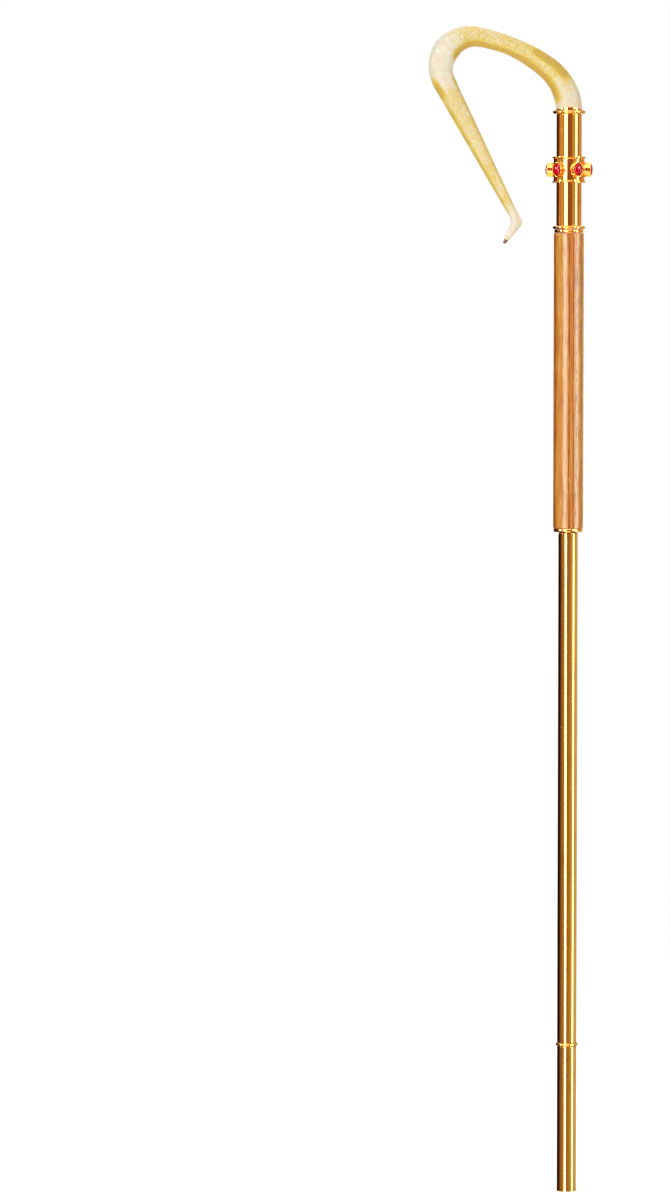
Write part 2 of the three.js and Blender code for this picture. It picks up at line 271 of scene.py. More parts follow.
LAMP_HEADS = [(44, 0.22), (-70, 0.20)]  # bearing and height
LAMP_HEAD_LIGHT = (70, 70, 70)
LAMP_HEAD_SIDE = (4, 6)
LAMP_HEAD_END = (0.06, 0.09)

CEILING, CEILING_HEIGHT = (1.5, 1.2, 0.8), (0.45, 0.80)
WARM_FLOOR, WARM_FLOOR_DROP = (0.42, 0.24, 0.10), (0.40, 0.80)
LONG_BOX, LONG_BOX_HEIGHT = (2.3, 2.3, 2.4), (0.34, 0.42)
BRIGHT_FLOOR, BRIGHT_FLOOR_DROP = (2.0, 1.6, 1.0), (0.40, 0.50)
LONG_BOX_SIDE = (0.26, 0.34)
SOFT_BELOW, SOFT_OVERHEAD, SOFT_HEIGHT = (0.34, 0.34, 0.34), (0.75, 0.75, 0.75), (0.1, 0.85)


def strip_box(bearing, height, lower, edges):
    """1 inside a tall strip box, 0 elsewhere."""
    left, right = (at + lower * moved for at, moved in edges)
    inside = between(bearing, left, left + STRIP_EDGE)
    inside = inside * (1 - between(bearing, right - STRIP_EDGE, right))
    return inside * (1 - between(size_of(height), *STRIP_END))


def walls_at(bearing, walls):
    """The light from the walls at a bearing."""
    stops = [((degrees + 180) / 360, colour) for degrees, colour in walls]
    round_it = bearing * (1 / 360) + 0.5
    return Wire.node(bearing.tree, "ShaderNodeValToRGB", {"stops": stops}, {0: round_it})


def world_light():
    world = bpy.data.worlds.new("studio")
    world.use_nodes = True
    tree = world.node_tree
    tree.nodes.clear()
    direction = Wire.node(tree, "ShaderNodeTexCoord")
    to_right, to_back, height = (part_of(direction, axis) for axis in "xyz")
    drop = 0 - height
    bearing = direction.maths("ARCTAN2", to_right, 0 - to_back) * (180 / math.pi)
    # What stands to the left leans: it is further right for the low part of the staff.
    leaning = between(drop, *LEAN_DROP) * (1 - between(bearing, *LEAN_ENDS_AT))
    leant = bearing - leaning * LEAN_DEGREES
    lower = between(drop, *LOWER_WALLS_DROP)
    glossy = mixed(lower, walls_at(leant, ROOM_WALLS), walls_at(bearing, LOWER_WALLS))
    glossy = mixed(between(height, *CEILING_HEIGHT), glossy, CEILING)
    glossy = mixed(between(drop, *WARM_FLOOR_DROP), glossy, WARM_FLOOR)
    # A long box hangs over the staff from front to back, and the floor below it is bright.
    front_to_back = 1 - between(size_of(to_right), *LONG_BOX_SIDE)
    glossy = mixed(front_to_back * between(height, *LONG_BOX_HEIGHT), glossy, LONG_BOX)
    glossy = mixed(front_to_back * between(drop, *BRIGHT_FLOOR_DROP), glossy, BRIGHT_FLOOR)
    glossy = mixed(strip_box(leant, height, lower, LEFT_STRIP), glossy, STRIP_LIGHT)
    glossy = mixed(strip_box(bearing, height, lower, RIGHT_STRIP), glossy, STRIP_LIGHT)
    for lamp_bearing, lamp_height in LAMP_HEADS:
        near = 1 - between(size_of(bearing - lamp_bearing), *LAMP_HEAD_SIDE)
        level = 1 - between(size_of(height - lamp_height), *LAMP_HEAD_END)
        glossy = mixed(near * level, glossy, LAMP_HEAD_LIGHT)
    soft = mixed(between(height, *SOFT_HEIGHT), SOFT_BELOW, SOFT_OVERHEAD)
    for_camera = Wire.node(tree, "ShaderNodeLightPath", out=0)
    for_gloss = Wire.node(tree, "ShaderNodeLightPath", out=3)
    seen = mixed(for_camera, mixed(for_gloss, soft, glossy), (1, 1, 1))
    background = Wire.node(tree, "ShaderNodeBackground", sockets={"Color": seen})
    output = tree.nodes.new("ShaderNodeOutputWorld")
    tree.links.new(background.socket, output.inputs["Surface"])
    return world


bpy.context.scene.world = world_light()
bpy.context.scene.view_settings.view_transform = "Standard"
print("walls and flags:", len(ROOM_WALLS))


# %% Soft boxes and the floor
MID_STAFF = (0, 0, 0.55 * STAFF_TOP)
FLOOR_GLOW = 0.3
FLOOR_FADE = (0.25, 0.9)  # shares of the floor's radius


def soft_box(name, place, width, height, watts):
    """A lamp that points at the middle of the staff and doesn't show in the metal."""
    lamp = bpy.data.lights.new(name, "AREA")
    lamp.shape = "RECTANGLE"
    lamp.size = width
    lamp.size_y = height
    lamp.energy = watts
    box = bpy.data.objects.new(name, lamp)
    box.location = place
    box.rotation_euler = (Vector(MID_STAFF) - Vector(place)).to_track_quat("-Z", "Y").to_euler()
    box.visible_glossy = False
    bpy.context.scene.collection.objects.link(box)


def studio_floor(radius=3.2, sides=96):
    """A pale floor that fades away with distance, so that no horizon crosses the staff."""
    around = [2 * math.pi * i / sides for i in range(sides)]
    rim = [(radius * math.cos(a), radius * math.sin(a), 0) for a in around]
    mesh = bpy.data.meshes.new("floor")
    mesh.from_pydata(rim, [], [tuple(range(sides))])
    floor = bpy.data.objects.new("floor", mesh)
    floor.visible_glossy = False
    glow = {"Roughness": 0.9, "Specular IOR Level": 0, "Emission Strength": FLOOR_GLOW,
            "Emission Color": (1, 1, 1, 1)}
    finish, tree, shader = new_finish("pale_floor", glow)
    place = own_place(tree)
    feed(shader, "Base Color", mixed(cloud(place, (3, 3, 3)), (0.90, 0.90, 0.90), (0.93, 0.93, 0.925)))
    away = Wire.node(tree, "ShaderNodeVectorMath", {"operation": "LENGTH"}, {0: place}, out=1)
    feed(shader, "Alpha", 1 - between(away, *(share * radius for share in FLOOR_FADE)))
    mesh.materials.append(finish)
    bpy.context.scene.collection.objects.link(floor)


soft_box("key_box", (-2.6, -3.4, 2.6), width=1.4, height=2.6, watts=70)
soft_box("fill_box", (3.0, -3.0, 1.6), width=1.0, height=2.4, watts=26)
soft_box("back_box", (1.5, 3.6, 2.4), width=1.6, height=2.4, watts=36)
studio_floor()

# %% [markdown]
# ## Metal finishes
#
# The collar is plated in a warm red gold and the tubes are plain brass, which is yellower and a
# little duller. Both are hand polished: the metal keeps faint streaks along the polishing stroke,
# slow waves that bend a reflection's edge, a few hairline scratches, and a trace of tarnish. One
# function makes both, since only their colours and dullness differ.

# %% Gold and brass
WAVE_HEIGHT = 0.15


def polished_metal(name, bright, tarnished, dullness):
    material, tree, shader = new_finish(name, {"Metallic": 1})
    place = own_place(tree)
    tarnish = between(cloud(place, (60, 60, 35), detail=5), 0.50, 0.78)
    feed(shader, "Base Color", mixed(tarnish * 0.5, bright, tarnished))
    streaks = cloud(place, (900, 900, 14), detail=3)
    smears = cloud(place, (45, 45, 12), detail=2)
    hairlines = between(cloud(place, (2200, 2200, 30), detail=1), 0.66, 0.74)
    feed(shader, "Roughness", dullness * (0.5 + streaks * 0.5 + smears * 0.5) + hairlines * 0.05)
    waves = cloud(place, (30, 30, 7), detail=1)
    surface = waves * WAVE_HEIGHT + streaks * 0.006 - hairlines * 0.004
    feed(shader, "Normal", bumped(surface, 1, 0.25 * MM))
    return material


gold = polished_metal("red_gold", (0.95, 0.46, 0.115), (0.62, 0.22, 0.05), dullness=0.05)
brass = polished_metal("tube_brass", (0.80, 0.47, 0.13), (0.50, 0.27, 0.08), dullness=0.085)
print("metals:", gold.name, brass.name)

# %% [markdown]
# ## Steel and washer fibre
#
# The rod that pulls the head together and the nut on it are zinc-plated steel, and the washer
# between the grip and the tube is dark vulcanised fibre. They hardly show, but show when the staff is
# taken apart, so each has its own plain finish with some grain.

# %% Steel, fibre and the dark tip
def plain_finish(name, light, dark, grain, sockets, roughness, bump):
    material, tree, shader = new_finish(name, sockets)
    lumps = cloud(own_place(tree), (grain, grain, grain), detail=4, roughness=0.6)
    feed(shader, "Base Color", mixed(lumps, dark, light))
    feed(shader, "Roughness", roughness + lumps * 0.2)
    feed(shader, "Normal", bumped(lumps, bump, 0.2 * MM))
    return material


steel = plain_finish("zinc_steel", (0.66, 0.66, 0.64), (0.42, 0.42, 0.43), grain=500,
                     sockets={"Metallic": 1}, roughness=0.22, bump=0.2)
fibre = plain_finish("washer_fibre", (0.09, 0.05, 0.03), (0.03, 0.018, 0.012), grain=900,
                     sockets={}, roughness=0.6, bump=0.5)
horn = plain_finish("dark_horn", srgb(150, 92, 40), srgb(70, 30, 12), grain=420,
                    sockets={"Coat Weight": 0.4}, roughness=0.25, bump=0.2)

# %% [markdown]
# ## Oak
#
# Oak is ring-porous: each year leaves a row of open pores, and turned into a stick with straight
# grain those rows run its whole length as wavy red-brown lines. They are where a few flat layers of
# the board cut the round, so each is placed by its distance across the board, and slow noise makes
# it wander, and the vessels in it break it up. Between them lies amber wood with finer streaks, two
# pale bands of painted sheen where the strip lights fall, short dark pores and one row of grey ones.
# A satin varnish on top catches the strip lights.

# %% Oak finish
# Where the year rings cross the board, in millimetres from its middle, and how dark each one is.
YEAR_RINGS = [(-18.2, 0.85), (-11.5, 0.18), (0.2, 1.0), (5.6, 0.95), (16.6, 0.45)]
# Bands of painted sheen, where the strip lights fall: from and to, in millimetres, and how pale.
SHEEN_BANDS = [(-8.6, -1.2, 0.60), (6.8, 14.6, 0.80)]
SHEEN_BAND_EDGE = 1
PORE_ROW = 10.6
PORE_ROW_FADE = (0.4, 0.9)

AMBER, LIGHT_AMBER = srgb(206, 134, 10), srgb(216, 152, 36)
# The colour of the painted sheen on the varnish.
PAINTED_SHEEN = srgb(214, 172, 118)
DARK_STREAK, PALE_STREAK, FINE_STREAK = srgb(190, 100, 10), srgb(242, 200, 118), srgb(184, 104, 18)
RING_GLOW, RING_CORE = srgb(224, 112, 24), srgb(118, 16, 0)
GREY_PORE, DARK_PORE = srgb(116, 92, 84), srgb(100, 48, 18)


def wandering(place, number):
    """How far across the board is from its middle, as slow drift and quick shivers bend it."""
    drift = (cloud(place, (20, 20, 6), detail=1, shift=number) - 0.5) * (5 * MM)
    shiver = (cloud(place, (60, 60, 62), detail=2, shift=number) - 0.5) * (1.5 * MM)
    return part_of(place, "x") + drift + shiver


def year_ring(place, offset, darkness, number):
    """A wavy line's dark core and warm glow. It swells, thins and breaks up as it climbs the stick."""
    away = size_of(wandering(place, number) - offset * MM)
    girth = cloud(place, (30, 30, 45), detail=3, shift=number + 0.5)
    width = away - girth * (1.7 * MM) + 0.35 * MM
    core = 1 - between(width, 0, 0.6 * MM)
    glow = 1 - between(width, 0.2 * MM, 1.6 * MM)
    vessels = between(cloud(place, (900, 900, 40), detail=2, shift=number), 0.42, 0.54)
    return core * darkness * between(girth, 0.26, 0.40) * (0.4 + vessels * 0.6), glow * darkness


def sheen_band(across, low, high):
    """1 between two distances across the board, 0 outside them."""
    enters = between(across, (low - SHEEN_BAND_EDGE) * MM, (low + SHEEN_BAND_EDGE) * MM)
    leaves = between(across, (high - SHEEN_BAND_EDGE) * MM, (high + SHEEN_BAND_EDGE) * MM)
    return enters - leaves


def oak_finish():
    material, tree, shader = new_finish("satin_oak", {"Coat Roughness": 0.19, "Coat IOR": 1.5})
    place = own_place(tree)
    board = between(cloud(place, (110, 110, 4), detail=3, distortion=0.3), 0.36, 0.64)
    wood = mixed(board, AMBER, LIGHT_AMBER)
    across = wandering(place, 7)
    # Painted sheen: two pale bands where the strip lights fall on the varnish.
    for low, high, amount in SHEEN_BANDS:
        wood = mixed(sheen_band(across, low, high) * amount, wood, PAINTED_SHEEN)
    streak = cloud(place, (340, 340, 26), detail=4, roughness=0.65)
    wood = mixed(between(streak, 0.50, 0.64) * 0.7, wood, DARK_STREAK)
    wood = mixed(between(1 - streak, 0.52, 0.68) * 0.6, wood, PALE_STREAK)
    fine = cloud(place, (1100, 1100, 22), detail=2)
    wood = mixed(between(fine, 0.50, 0.62) * 0.45, wood, FINE_STREAK)
    for number, (offset, darkness) in enumerate(YEAR_RINGS):
        core, glow = year_ring(place, offset, darkness, number)
        wood = mixed(glow * 0.6, wood, RING_GLOW)
        wood = mixed(core, wood, RING_CORE)
    dashes = between(cloud(place, (300, 300, 150), detail=1, shift=5.1), 0.50, 0.58)
    row = 1 - between(size_of(across - PORE_ROW * MM), *(edge * MM for edge in PORE_ROW_FADE))
    wood = mixed(row * dashes * 0.7, wood, GREY_PORE)
    pores = between(cloud(place, (1300, 1300, 60), detail=2), 0.60, 0.68)
    in_rows = between(cloud(place, (150, 150, 6), detail=1, shift=3.3), 0.46, 0.60)
    pores = pores * (0.35 + in_rows * 0.65)
    feed(shader, "Base Color", mixed(pores * 0.8, wood, DARK_PORE))
    feed(shader, "Roughness", 0.42 + streak * 0.2)
    feed(shader, "Coat Weight", 1 - pores * 0.8)
    feed(shader, "Normal", bumped(streak * 0.4 - pores, 0.3, 0.10 * MM))
    return material


oak = oak_finish()

# %% [markdown]
# ## The hook's finish
#
# The hook is cast in an ivory-coloured resin and rubbed with an ochre stain, and painted shade is laid
# into the same ochre: it is thin on the lit outside of the bend and on the toe, solid and deeper along
# the shaded underside of the back, and dragged round the hook elsewhere, so that it lies in short
# strokes on the back and in a fine net on the arm. The mesh of the hook carries what the finish needs:
# where each point would be if the hook were straightened out, and how much stain and painted shade lie
# there. Noise in straightened places then runs round the hook wherever it bends.

# %% Ivory resin
CREAM, ROSY_CREAM = srgb(255, 247, 222), srgb(254, 234, 206)
# The deep ochre is painted shade, for the undersides that face away from the light.
OCHRE, SHADED_OCHRE = srgb(242, 208, 48), srgb(222, 178, 0)


def ivory_finish():
    sockets = {"Subsurface Weight": 0.1, "Subsurface Radius": (0.9, 0.6, 0.3),
               "Subsurface Scale": 1.5 * MM, "Specular IOR Level": 0.22,
               "Coat Weight": 0.04, "Coat Roughness": 0.3}
    material, tree, shader = new_finish("ivory_resin", sockets)
    straight = Wire.node(tree, "ShaderNodeAttribute", {"attribute_name": "straightened"}, out=1)
    left = Wire.node(tree, "ShaderNodeAttribute", {"attribute_name": "stain_left"}, out=2)
    stroked = Wire.node(tree, "ShaderNodeAttribute", {"attribute_name": "stroked"}, out=2)
    net = cloud(straight, (1000, 860, 860), detail=2, roughness=0.6, distortion=0.5)
    strokes = cloud(straight, (1250, 300, 300), detail=2, roughness=0.55, distortion=0.4)
    grain = net + (strokes - net) * stroked
    patches = cloud(straight, (60, 60, 60), detail=3)
    # Stain and painted shade: the ochre is denser and deeper where the mesh says shade lies.
    amount = left + (patches - 0.5) * 0.35
    dots = between(cloud(straight, (1500, 1100, 1100), detail=1, shift=0.7), 0.55, 0.64)
    stain_and_shade_mask = between(grain + (amount - 0.5) * 0.62, 0.46, 0.55) * (1 - dots * 0.42)
    deep_shade = between(amount + (net - 0.5) * 0.5, 0.70, 1.0)
    rosy = cloud(straight, (260, 160, 160), detail=3)
    cream = mixed(between(rosy, 0.4, 0.62), CREAM, ROSY_CREAM)
    ochre = mixed(deep_shade, OCHRE, SHADED_OCHRE)
    feed(shader, "Base Color", mixed(stain_and_shade_mask * 0.92, cream, ochre))
    feed(shader, "Roughness", 0.44 + stain_and_shade_mask * 0.14)
    feed(shader, "Normal", bumped(grain, 0.3, 0.2 * MM))
    return material


ivory = ivory_finish()


# %% [markdown]
# ## The stones
#
# The stones are red cabochons: domed, unfaceted and glassy. Painted shade darkens their colour round
# the rim, where the collet keeps the light out, and the colour has slow clouds in it. The gloss does
# the rest. A dome's rim and crown differ in how far they stand from the staff's axis, so the finish
# measures that.

# %% Red stone
# How far from the staff's axis the painted shade round the rim starts to clear, and where the colour
# is clearest.
STONE_RIM_AT = 28.4 * MM
STONE_CROWN_AT = 30.6 * MM


def stone_finish():
    material, tree, shader = new_finish("red_stone", {"Roughness": 0.03, "Specular IOR Level": 0.32})
    place = own_place(tree)
    outwards = (part_of(place, "x") ** 2 + part_of(place, "y") ** 2) ** 0.5
    crown = between(outwards, STONE_RIM_AT, STONE_CROWN_AT)
    clouds = cloud(place, (160, 160, 160), detail=3)
    body = mixed(clouds, srgb(190, 0, 26), srgb(232, 0, 44))
    # Painted shade: the red is darkest at the rim.
    feed(shader, "Base Color", mixed(crown, srgb(120, 0, 14), body))
    return material


red_stone = stone_finish()

# %% [markdown]
# ## Turning
#
# Nearly every piece of the staff is turned on a lathe, so one function spins an outline about the
# staff's axis. A lathe never leaves a knife edge: the maker eases each corner, and that small round
# is what catches the light. So corners are eased before the outline is spun. Smooth shading would
# carry an eased corner's tilt along the whole wall beside it, so each long wall also gets a ring of
# points near each end, and reflections stay straight.

# %% Outlines with eased corners
TINY = 1e-6  # a length that counts as none


def eased(outline, size, steps=3):
    """A closed outline with each corner replaced by a small curve. On-axis corners stay sharp."""
    out = []
    count = len(outline)
    for i, (radius, height) in enumerate(outline):
        here = Vector((radius, height))
        before = Vector(outline[i - 1]) - here
        after = Vector(outline[(i + 1) % count]) - here
        reach = min(size, 0.4 * before.length, 0.4 * after.length)
        if radius < TINY or reach < TINY:
            out.append(here)
            continue
        start, end = here + before.normalized() * reach, here + after.normalized() * reach
        for step in range(steps + 1):
            t = step / steps
            out.append(start * (1 - t) ** 2 + here * 2 * t * (1 - t) + end * t ** 2)
    return out


def arc(centre_radius, centre_height, size, start, end, steps=10):
    """Points on an arc of an outline, between two angles in degrees."""
    angles = [math.radians(start + (end - start) * i / steps) for i in range(steps + 1)]
    return [(centre_radius + size * math.cos(a), centre_height + size * math.sin(a)) for a in angles]


# %% Spinning and placing
def held_flat(outline, longest=3 * MM, gap=0.4 * MM):
    """An outline with two more points on each long straight stretch, one near each end."""
    out = []
    for here, after in zip(outline, outline[1:] + outline[:1]):
        along = Vector(after) - Vector(here)
        out.append(tuple(here))
        if along.length > longest:
            step = along.normalized() * gap
            out += [tuple(Vector(here) + step), tuple(Vector(after) - step)]
    return out


def spun(outline, sides):
    """The points and faces of a closed outline spun about Z. Points on the axis are shared."""
    points, rows = [], []
    for radius, height in held_flat(outline):
        if radius < TINY:
            rows.append([len(points)] * sides)
            points.append((0, 0, height))
            continue
        rows.append(list(range(len(points), len(points) + sides)))
        for i in range(sides):
            angle = 2 * math.pi * i / sides
            points.append((radius * math.cos(angle), radius * math.sin(angle), height))
    faces = []
    for row, following in zip(rows, rows[1:] + rows[:1]):
        for i in range(sides):
            j = (i + 1) % sides
            corners = list(dict.fromkeys((row[i], row[j], following[j], following[i])))
            if len(corners) > 2:
                faces.append(corners)
    return points, faces


def make_piece(name, points, faces, body, finish, stands_for=()):
    """A smooth-shaded mesh that rides on a body and stands for its CAD nodes."""
    mesh = bpy.data.meshes.new(name)
    mesh.from_pydata([tuple(point) for point in points], [], faces)
    mesh.validate()
    mesh.shade_smooth()
    mesh.set_sharp_from_angle(angle=math.radians(40))
    mesh.materials.append(finish)
    piece = bpy.data.objects.new(name, mesh)
    bpy.context.scene.collection.objects.link(piece)
    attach(piece, body)
    if stands_for:
        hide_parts(*stands_for)
    return piece


def turned(node, outline, finish, ease=0.25 * MM, sides=96):
    """A turned piece in place of a CAD node, on the body that the node is on."""
    points, faces = spun(eased(outline, ease), sides)
    piece = make_piece(f"{node}_turned", points, faces, BODY_OF[node], finish, (node,))
    print(piece.name, len(points), "points")
    return piece


BODY_OF = {node: body for body, nodes in frame["record"]["behaviour"]["bodies"].items()
           for node in nodes}


def outer_radius(node):
    low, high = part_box(node)
    return (high.y - low.y) / 2


# %% [markdown]
# ## The brass tubes, their ring and their washer
#
# The two lower lengths are plain drawn tube with burnished ends. A rounded ring covers the lower
# joint. The washer above keeps the brass from marking the gilded ferrule.

# %% Tubes
TUBE_WALL = 1.6 * MM


def tube(node, finish, wall):
    low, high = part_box(node)
    radius = outer_radius(node)
    turned(node, [(radius - wall, low.z), (radius, low.z), (radius, high.z), (radius - wall, high.z)],
           finish)


tube("foot_tube", brass, TUBE_WALL)
tube("middle_tube", brass, TUBE_WALL)


# %% Joint ring and washer
def beaded(node, bore, finish):
    """A ring whose rim is a half round."""
    low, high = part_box(node)
    bead = (high.z - low.z) / 2
    rim = arc(outer_radius(node) - bead, low.z + bead, bead, -90, 90)
    turned(node, [(bore, low.z), *rim, (bore, high.z)], finish, ease=0.1 * MM)


STUD_BORE = 6.4 * MM
beaded("joint_ring", STUD_BORE, brass)
washer_low, washer_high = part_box("grip_washer")
washer_radius = outer_radius("grip_washer")
turned("grip_washer", [(STUD_BORE, washer_low.z), (washer_radius, washer_low.z),
                       (washer_radius, washer_high.z), (STUD_BORE, washer_high.z)],
       fibre, ease=0.15 * MM)

# %% [markdown]
# ## The threaded studs
#
# Each lower section carries a stud with a coarse thread, quick to undo. A thread is a cylinder whose
# radius follows the height and the angle together: one turn round climbs one lead. A flat crest and
# root with sloping flanks give it the look of a cut thread.

# %% Studs
THREAD_RADIUS = 6 * MM
THREAD_DEPTH = 1 * MM
THREAD_LEAD = 4 * MM
THREAD_LENGTH = 6 * THREAD_LEAD
STUD_PLUG_LENGTH = 30 * MM
FLAT_SHARE = 0.25  # how much of the swing from crest to root is cut off flat at each end


def thread_depth(phase):
    """How far below the crest the thread is, from 0 to 1, over one lead."""
    swing = 0.5 - 0.5 * math.cos(2 * math.pi * phase)
    return min(1, max(0, (swing - FLAT_SHARE) / (1 - 2 * FLAT_SHARE)))


def threaded_stud(node, sides=64, rows_per_lead=16):
    low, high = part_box(node)
    plug_top = low.z + STUD_PLUG_LENGTH
    thread_base = high.z - THREAD_LENGTH
    root = THREAD_RADIUS - THREAD_DEPTH
    plug = outer_radius(node)
    outline = [(0, low.z), (plug, low.z), (plug, plug_top), (root, plug_top), (root, thread_base)]
    rows = int(rows_per_lead * THREAD_LENGTH / THREAD_LEAD)
    outline += [(THREAD_RADIUS, thread_base + THREAD_LENGTH * (i + 0.5) / rows) for i in range(rows)]
    outline += [(root, high.z), (0, high.z)]
    points, faces = spun(outline, sides)
    cut = []
    for x, y, z in points:
        if thread_base < z < high.z:
            phase = (z - thread_base) / THREAD_LEAD - math.atan2(y, x) / (2 * math.pi)
            ends = min(1, (z - thread_base) / THREAD_LEAD, (high.z - z) / (0.5 * THREAD_LEAD))
            radius = root + THREAD_DEPTH * (1 - thread_depth(phase % 1)) * ends
            x, y = x * radius / THREAD_RADIUS, y * radius / THREAD_RADIUS
        cut.append((x, y, z))
    make_piece(f"{node}_threaded", cut, faces, BODY_OF[node], brass, (node,))


threaded_stud("foot_stud")
threaded_stud("middle_stud")

# %% [markdown]
# ## The oak grip
#
# The grip is turned oak. Its pores are open even under varnish, so they are cut into the mesh as
# shallow grooves along the grain, and the stick is not perfectly round. Fine colour and the finest
# pores stay in the finish.

# %% Grip
GRIP_BORE = 5 * MM
GRIP_COUNTERBORE = 12.4 * MM
COUNTERBORE_DEPTH = 64 * MM
GRIP_CHAMFER = 0.9 * MM
PORE_DEPTH = 0.16 * MM
UNEVENNESS = 0.06 * MM


def grip_radius(radius, angle, height):
    """The stick's radius: slow unevenness, less the pores that run along it."""
    around = Vector((math.cos(angle), math.sin(angle), 0)) * radius
    slow = noise.noise(Vector((around.x * 40, around.y * 40, height * 9)))
    pore = noise.noise(Vector((around.x * 520, around.y * 520, height * 26)))
    second = noise.noise(Vector((around.x * 900, around.y * 900, height * 60 + 7)))
    groove = max(0, pore - 0.22) * 2.2 + max(0, second - 0.3)
    return radius + UNEVENNESS * slow - PORE_DEPTH * min(1, groove)


def oak_stick(node="oak_grip", sides=176, rows=300):
    low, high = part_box(node)
    radius = outer_radius(node)
    counter_top = low.z + COUNTERBORE_DEPTH
    end_radius = radius - GRIP_CHAMFER
    step = (high.z - low.z - 2 * GRIP_CHAMFER) / rows
    wall = [(radius, low.z + GRIP_CHAMFER + step * i) for i in range(rows + 1)]
    outline = [(GRIP_COUNTERBORE, low.z), (end_radius, low.z), *wall, (end_radius, high.z),
               (GRIP_BORE, high.z), (GRIP_BORE, counter_top), (GRIP_COUNTERBORE, counter_top)]
    points, faces = spun(outline, sides)
    shaped = []
    for x, y, z in points:
        if math.hypot(x, y) > radius - 0.1 * MM:
            angle = math.atan2(y, x)
            here = grip_radius(radius, angle, z)
            x, y = here * math.cos(angle), here * math.sin(angle)
        shaped.append((x, y, z))
    make_piece("oak_grip_turned", shaped, faces, BODY_OF[node], oak, (node,))


oak_stick()

# %% [markdown]
# ## Ferrules and flanges
#
# Gold ferrules cap both ends of the oak, and a rounded flange above and below closes the collar. Both
# ferrules swell a little towards the middle, which draws the light into a drop on them, and the upper
# one swells more. The flanges have half-round rims.

# %% Ferrules
ROD_BORE = 5 * MM
FERRULE_STEP = 0.3 * MM
SWELL_SHARE = 0.96  # how much of a ferrule's height swells


def ferrule(node, bore, swell, steps=12):
    low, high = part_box(node)
    radius = outer_radius(node)
    middle = (low.z + high.z) / 2
    half = (high.z - low.z) / 2
    end_radius = radius - swell - FERRULE_STEP
    wall = []
    for i in range(steps + 1):
        along = 2 * i / steps - 1
        wall.append((radius - swell * along ** 2, middle + half * SWELL_SHARE * along))
    outline = [(bore, low.z), (end_radius, low.z), *wall, (end_radius, high.z), (bore, high.z)]
    turned(node, outline, gold, ease=0.1 * MM)


ferrule("grip_lower_ferrule", bore=6.6 * MM, swell=0.5 * MM)
ferrule("grip_upper_ferrule", bore=ROD_BORE, swell=0.7 * MM)


# %% Flanges
FLANGE_HEIGHT = 4.2 * MM
SPIGOT_RADIUS = 15.35 * MM
COLLAR_WALL = 1.5 * MM


def flange(node, spigot_above):
    """A rounded flange with the spigot that centres the collar tube."""
    low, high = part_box(node)
    bead = FLANGE_HEIGHT / 2
    base = low.z if spigot_above else high.z - FLANGE_HEIGHT
    rim = arc(outer_radius(node) - bead, base + bead, bead, -90, 90)
    above = [(SPIGOT_RADIUS, base + FLANGE_HEIGHT), (SPIGOT_RADIUS, high.z), (ROD_BORE, high.z)]
    below = [(ROD_BORE, low.z), (SPIGOT_RADIUS, low.z), (SPIGOT_RADIUS, base)]
    if spigot_above:
        outline = [(ROD_BORE, base), *rim, *above]
    else:
        outline = [*below, *rim, (ROD_BORE, high.z)]
    turned(node, outline, gold, ease=0.1 * MM)


flange("lower_flange", spigot_above=True)
flange("top_flange", spigot_above=False)
tube("collar_tube", gold, COLLAR_WALL)

# %% [markdown]
# ## The jewelled band
#
# The band is a short drum with a hollow waist between two thin flared lips. Six oval holes are cut
# through it for the collets. The cuts are made with real cutters and Blender's exact Boolean, and
# the result is kept as a plain mesh.

# %% Band
BEZEL_COUNT = 6
OVAL = 0.73  # width of a stone over its height
BEZEL_HALF_HEIGHT = 9.8 * MM
BAND_LIP = 1.4 * MM
BAND_WAIST = 21 * MM
SLIDING_GAP = 0.3 * MM
CUTTER_GAP = 0.1 * MM
CUTTER_FROM, CUTTER_TO = 16 * MM, 26 * MM
OVAL_SIDES = 64


def bezel_bearing(index):
    low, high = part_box(f"bezel_{index}")
    return math.atan2(low.y + high.y, low.x + high.x)


def band_height():
    low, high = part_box("jewel_band")
    return (low.z + high.z) / 2


def outward(index):
    """Turns a piece made along +Z so that it points out of the band at one of the six places."""
    narrow = Matrix.Diagonal((1, OVAL, 1, 1))
    lay = Matrix.Rotation(math.pi / 2, 4, "Y")
    swing = Matrix.Rotation(bezel_bearing(index), 4, "Z")
    return Matrix.Translation((0, 0, band_height())) @ swing @ lay @ narrow


def jewel_band():
    low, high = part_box("jewel_band")
    lip, bore = outer_radius("jewel_band"), outer_radius("collar_tube") + SLIDING_GAP
    flare = lip - BAND_WAIST
    lower = arc(lip, low.z + BAND_LIP + flare, flare, 270, 180)
    upper = arc(lip, high.z - BAND_LIP - flare, flare, 180, 90)
    outline = [(bore, low.z), (lip, low.z), *lower, *upper, (lip, high.z), (bore, high.z)]
    band = turned("jewel_band", outline, gold, ease=0.2 * MM, sides=144)
    half = BEZEL_HALF_HEIGHT + CUTTER_GAP
    drum = [(0, CUTTER_FROM), (half, CUTTER_FROM), (half, CUTTER_TO), (0, CUTTER_TO)]
    for index in range(1, BEZEL_COUNT + 1):
        points, faces = spun(drum, OVAL_SIDES)
        mesh = bpy.data.meshes.new("cutter")
        mesh.from_pydata(points, [], faces)
        cutter = bpy.data.objects.new("cutter", mesh)
        cutter.matrix_world = outward(index)
        bpy.context.scene.collection.objects.link(cutter)
        cut = band.modifiers.new("cut", "BOOLEAN")
        cut.object, cut.operation, cut.solver = cutter, "DIFFERENCE", "EXACT"
        bpy.context.view_layer.update()
        evaluated = band.evaluated_get(bpy.context.evaluated_depsgraph_get())
        carved = bpy.data.meshes.new_from_object(evaluated)
        band.modifiers.clear()
        band.data = carved
        bpy.data.objects.remove(cutter)
    band.data.shade_smooth()
    band.data.set_sharp_from_angle(angle=math.radians(32))
    print("band cut:", len(band.data.polygons), "faces")


jewel_band()

# %% [markdown]
# ## Collets and stones
#
# A collet is a short oval tube whose rim is burnished in over the stone's edge. The stone is an oval
# dome on a short straight girdle. Both are turned round and then narrowed, which keeps the rim's
# thickness nearly even.

